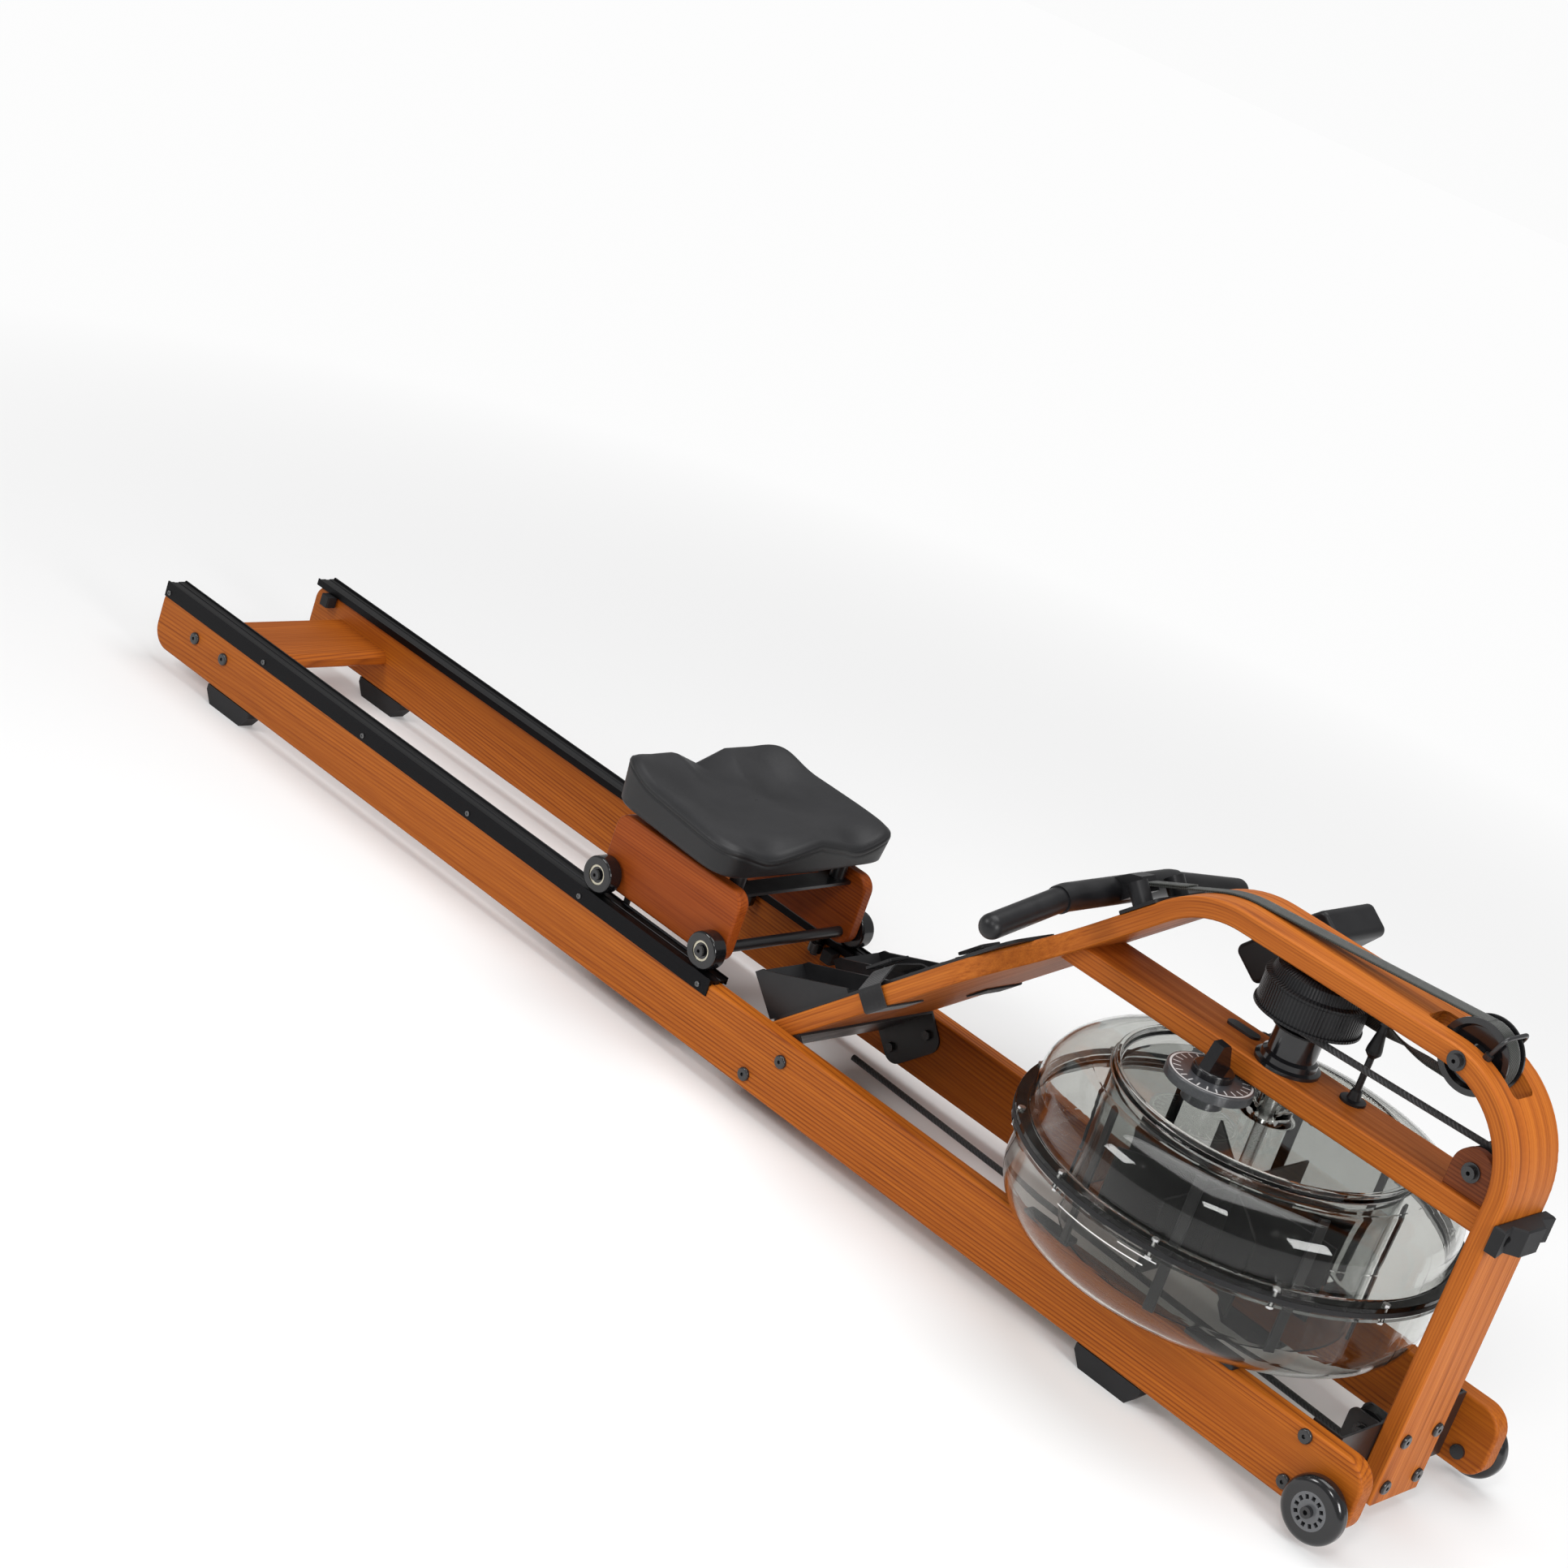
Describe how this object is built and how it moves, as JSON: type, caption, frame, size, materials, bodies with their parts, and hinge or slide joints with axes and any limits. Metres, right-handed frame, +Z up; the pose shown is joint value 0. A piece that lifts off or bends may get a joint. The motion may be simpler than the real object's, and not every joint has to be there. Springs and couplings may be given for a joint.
{
  "type": "rowing machine",
  "caption": "Wooden rowing machine with a smoked water tank, sliding seat, bent footboard, webbing-drive handle and transport wheels.",
  "frame": {"origin": "on the floor, under the middle of the machine's length and width", "axes": "+X from the seat end to the water tank, +Y to the rower's left, +Z up"},
  "size_m": [2.144, 0.525, 0.548],
  "materials": {
    "rail_wood": "oiled open-grain ash, orange-brown stain, satin lacquer",
    "board_wood": "bent laminated ash, orange-brown stain, satin lacquer",
    "carriage_wood": "red-brown stained ash, satin lacquer",
    "ear_wood": "walnut-brown stained ash",
    "track_black": "black anodised extrusion, worn brighter along the run",
    "black_steel": "black powder coat",
    "bolt_black": "black oxide, glossy",
    "bright_steel": "zinc-plated",
    "smoked_clear": "smoked clear plastic, gloss",
    "gasket_rubber": "black rubber",
    "foot_rubber": "matte black rubber",
    "black_plastic": "moulded, fine texture",
    "gloss_black": "moulded, gloss",
    "dial_print": "dark disc with a light ring",
    "screen": "dark display window",
    "webbing": "diagonal twill webbing, dark grey-green",
    "strap_black": "ribbed black webbing",
    "bungee_sleeve": "braided sleeve over rubber",
    "seat_skin": "self-skinned foam, matte fine grain",
    "wheel_urethane": "cast urethane, gloss tread, matte sides"
  },
  "bodies": {
    "frame": {"right_rail": "rail_wood", "left_rail": "rail_wood", "right_track": "track_black", "left_track": "track_black", "track_screws": "bright_steel", "rear_cross_board": "rail_wood", "rubber_feet": "foot_rubber", "track_stops": "foot_rubber", "bent_board": "board_wood", "tank_board": "board_wood", "foot_bracket": "black_steel", "front_bracket": "black_steel", "frame_bolts": "bolt_black", "wheel_bolts": "bolt_black", "pulley_ears": "ear_wood", "post_bumper": "foot_rubber", "handle_cradle": "black_plastic", "tank_lower_shell": "smoked_clear", "tank_upper_shell": "smoked_clear", "tank_gasket": "gasket_rubber", "tank_screws": "bright_steel", "inner_tank": "smoked_clear", "tank_supports": "black_plastic", "bearing_housing": "gloss_black", "strap_guide": "black_plastic", "pulley_axles": "bolt_black", "pulley_guard": "black_steel", "drive_strap": "webbing", "bungee_cord": "bungee_sleeve", "monitor_arm": "black_steel", "dial_plate": "dial_print", "right_foot_plate": "black_plastic", "left_foot_plate": "black_plastic", "foot_straps": "strap_black", "strap_buckles": "black_plastic"},
    "impeller": {"impeller": "black_plastic", "impeller_shaft": "bright_steel"},
    "drum": {"strap_drum": "black_plastic"},
    "top_pulley": {"top_pulley": "gloss_black"},
    "ear_pulley": {"ear_pulley": "black_plastic"},
    "lower_pulley": {"lower_pulley": "black_plastic"},
    "handle": {"handle_bar": "black_plastic", "handle_grips": "foot_rubber"},
    "monitor": {"monitor_body": "black_plastic", "monitor_screen": "screen"},
    "knob": {"resistance_knob": "gloss_black"},
    "right_heel_cup": {"right_heel_cup": "black_plastic"},
    "left_heel_cup": {"left_heel_cup": "black_plastic"},
    "seat": {"seat_pad": "seat_skin", "seat_frame": "black_steel", "carriage_boards": "carriage_wood", "carriage_axles": "black_steel"},
    "front_seat_wheels": {"front_seat_wheels": "wheel_urethane"},
    "rear_seat_wheels": {"rear_seat_wheels": "wheel_urethane"},
    "front_right_guide": {"front_right_guide_roller": "wheel_urethane"},
    "front_left_guide": {"front_left_guide_roller": "wheel_urethane"},
    "rear_right_guide": {"rear_right_guide_roller": "wheel_urethane"},
    "rear_left_guide": {"rear_left_guide_roller": "wheel_urethane"},
    "right_transport_wheel": {"right_transport_wheel": "wheel_urethane"},
    "left_transport_wheel": {"left_transport_wheel": "wheel_urethane"}
  },
  "joints": [
    {"name": "seat_slide", "type": "slide", "parent": "frame", "child": "seat", "axis": [1, 0, 0], "range_m": [-0.87, 0.005]},
    {"name": "front_seat_wheels_spin", "type": "hinge", "parent": "seat", "child": "front_seat_wheels", "pos_m": [0.025, 0, 0.1412], "axis": [0, 1, 0], "continuous": true},
    {"name": "rear_seat_wheels_spin", "type": "hinge", "parent": "seat", "child": "rear_seat_wheels", "pos_m": [-0.167, 0, 0.1412], "axis": [0, 1, 0], "continuous": true},
    {"name": "front_right_guide_spin", "type": "hinge", "parent": "seat", "child": "front_right_guide", "pos_m": [-0.007, -0.1147, 0.101], "axis": [0, 0, 1], "continuous": true},
    {"name": "front_left_guide_spin", "type": "hinge", "parent": "seat", "child": "front_left_guide", "pos_m": [-0.007, 0.1147, 0.101], "axis": [0, 0, 1], "continuous": true},
    {"name": "rear_right_guide_spin", "type": "hinge", "parent": "seat", "child": "rear_right_guide", "pos_m": [-0.135, -0.1147, 0.101], "axis": [0, 0, 1], "continuous": true},
    {"name": "rear_left_guide_spin", "type": "hinge", "parent": "seat", "child": "rear_left_guide", "pos_m": [-0.135, 0.1147, 0.101], "axis": [0, 0, 1], "continuous": true},
    {"name": "handle_pull", "type": "slide", "parent": "frame", "child": "handle", "axis": [-0.9836, 0, 0.1801], "range_m": [0, 1.2], "deforming": ["drive_strap"]},
    {"name": "drum_spin", "type": "hinge", "parent": "frame", "child": "drum", "pos_m": [0.725, 0, 0.455], "axis": [0, 0, 1], "continuous": true},
    {"name": "top_pulley_spin", "type": "hinge", "parent": "frame", "child": "top_pulley", "pos_m": [0.927, 0, 0.506], "axis": [0, 1, 0], "continuous": true},
    {"name": "ear_pulley_spin", "type": "hinge", "parent": "frame", "child": "ear_pulley", "pos_m": [0.983, 0, 0.4015], "axis": [0, 1, 0], "continuous": true},
    {"name": "lower_pulley_spin", "type": "hinge", "parent": "frame", "child": "lower_pulley", "pos_m": [0.983, 0, 0.07], "axis": [0, 1, 0], "continuous": true},
    {"name": "impeller_spin", "type": "hinge", "parent": "frame", "child": "impeller", "pos_m": [0.725, 0, 0.18], "axis": [0, 0, 1], "continuous": true},
    {"name": "resistance_knob_turn", "type": "hinge", "parent": "frame", "child": "knob", "pos_m": [0.68, -0.065, 0.345], "axis": [0, 0, 1], "range_deg": [-150, 150]},
    {"name": "monitor_tilt", "type": "hinge", "parent": "frame", "child": "monitor", "pos_m": [0.666, 0.118, 0.438], "axis": [0, 1, 0], "range_deg": [-20, 15]},
    {"name": "right_heel_cup_slide", "type": "slide", "parent": "frame", "child": "right_heel_cup", "axis": [0.7254, 0, 0.6884], "range_m": [0, 0.024]},
    {"name": "left_heel_cup_slide", "type": "slide", "parent": "frame", "child": "left_heel_cup", "axis": [0.7254, 0, 0.6884], "range_m": [0, 0.024]},
    {"name": "right_transport_wheel_spin", "type": "hinge", "parent": "frame", "child": "right_transport_wheel", "pos_m": [1.034, -0.1633, 0.046], "axis": [0, 1, 0], "continuous": true},
    {"name": "left_transport_wheel_spin", "type": "hinge", "parent": "frame", "child": "left_transport_wheel", "pos_m": [1.034, 0.1633, 0.046], "axis": [0, 1, 0], "continuous": true}
  ],
  "couplings": [
    {"joint": "front_seat_wheels_spin", "follows": "seat_slide", "rad_per_m": 41.667},
    {"joint": "rear_seat_wheels_spin", "follows": "seat_slide", "rad_per_m": 41.667},
    {"joint": "drum_spin", "follows": "handle_pull", "rad_per_m": -16.667},
    {"joint": "top_pulley_spin", "follows": "handle_pull", "rad_per_m": -26.11},
    {"joint": "ear_pulley_spin", "follows": "handle_pull", "rad_per_m": -20.486},
    {"joint": "lower_pulley_spin", "follows": "handle_pull", "rad_per_m": -20.486}
  ]
}
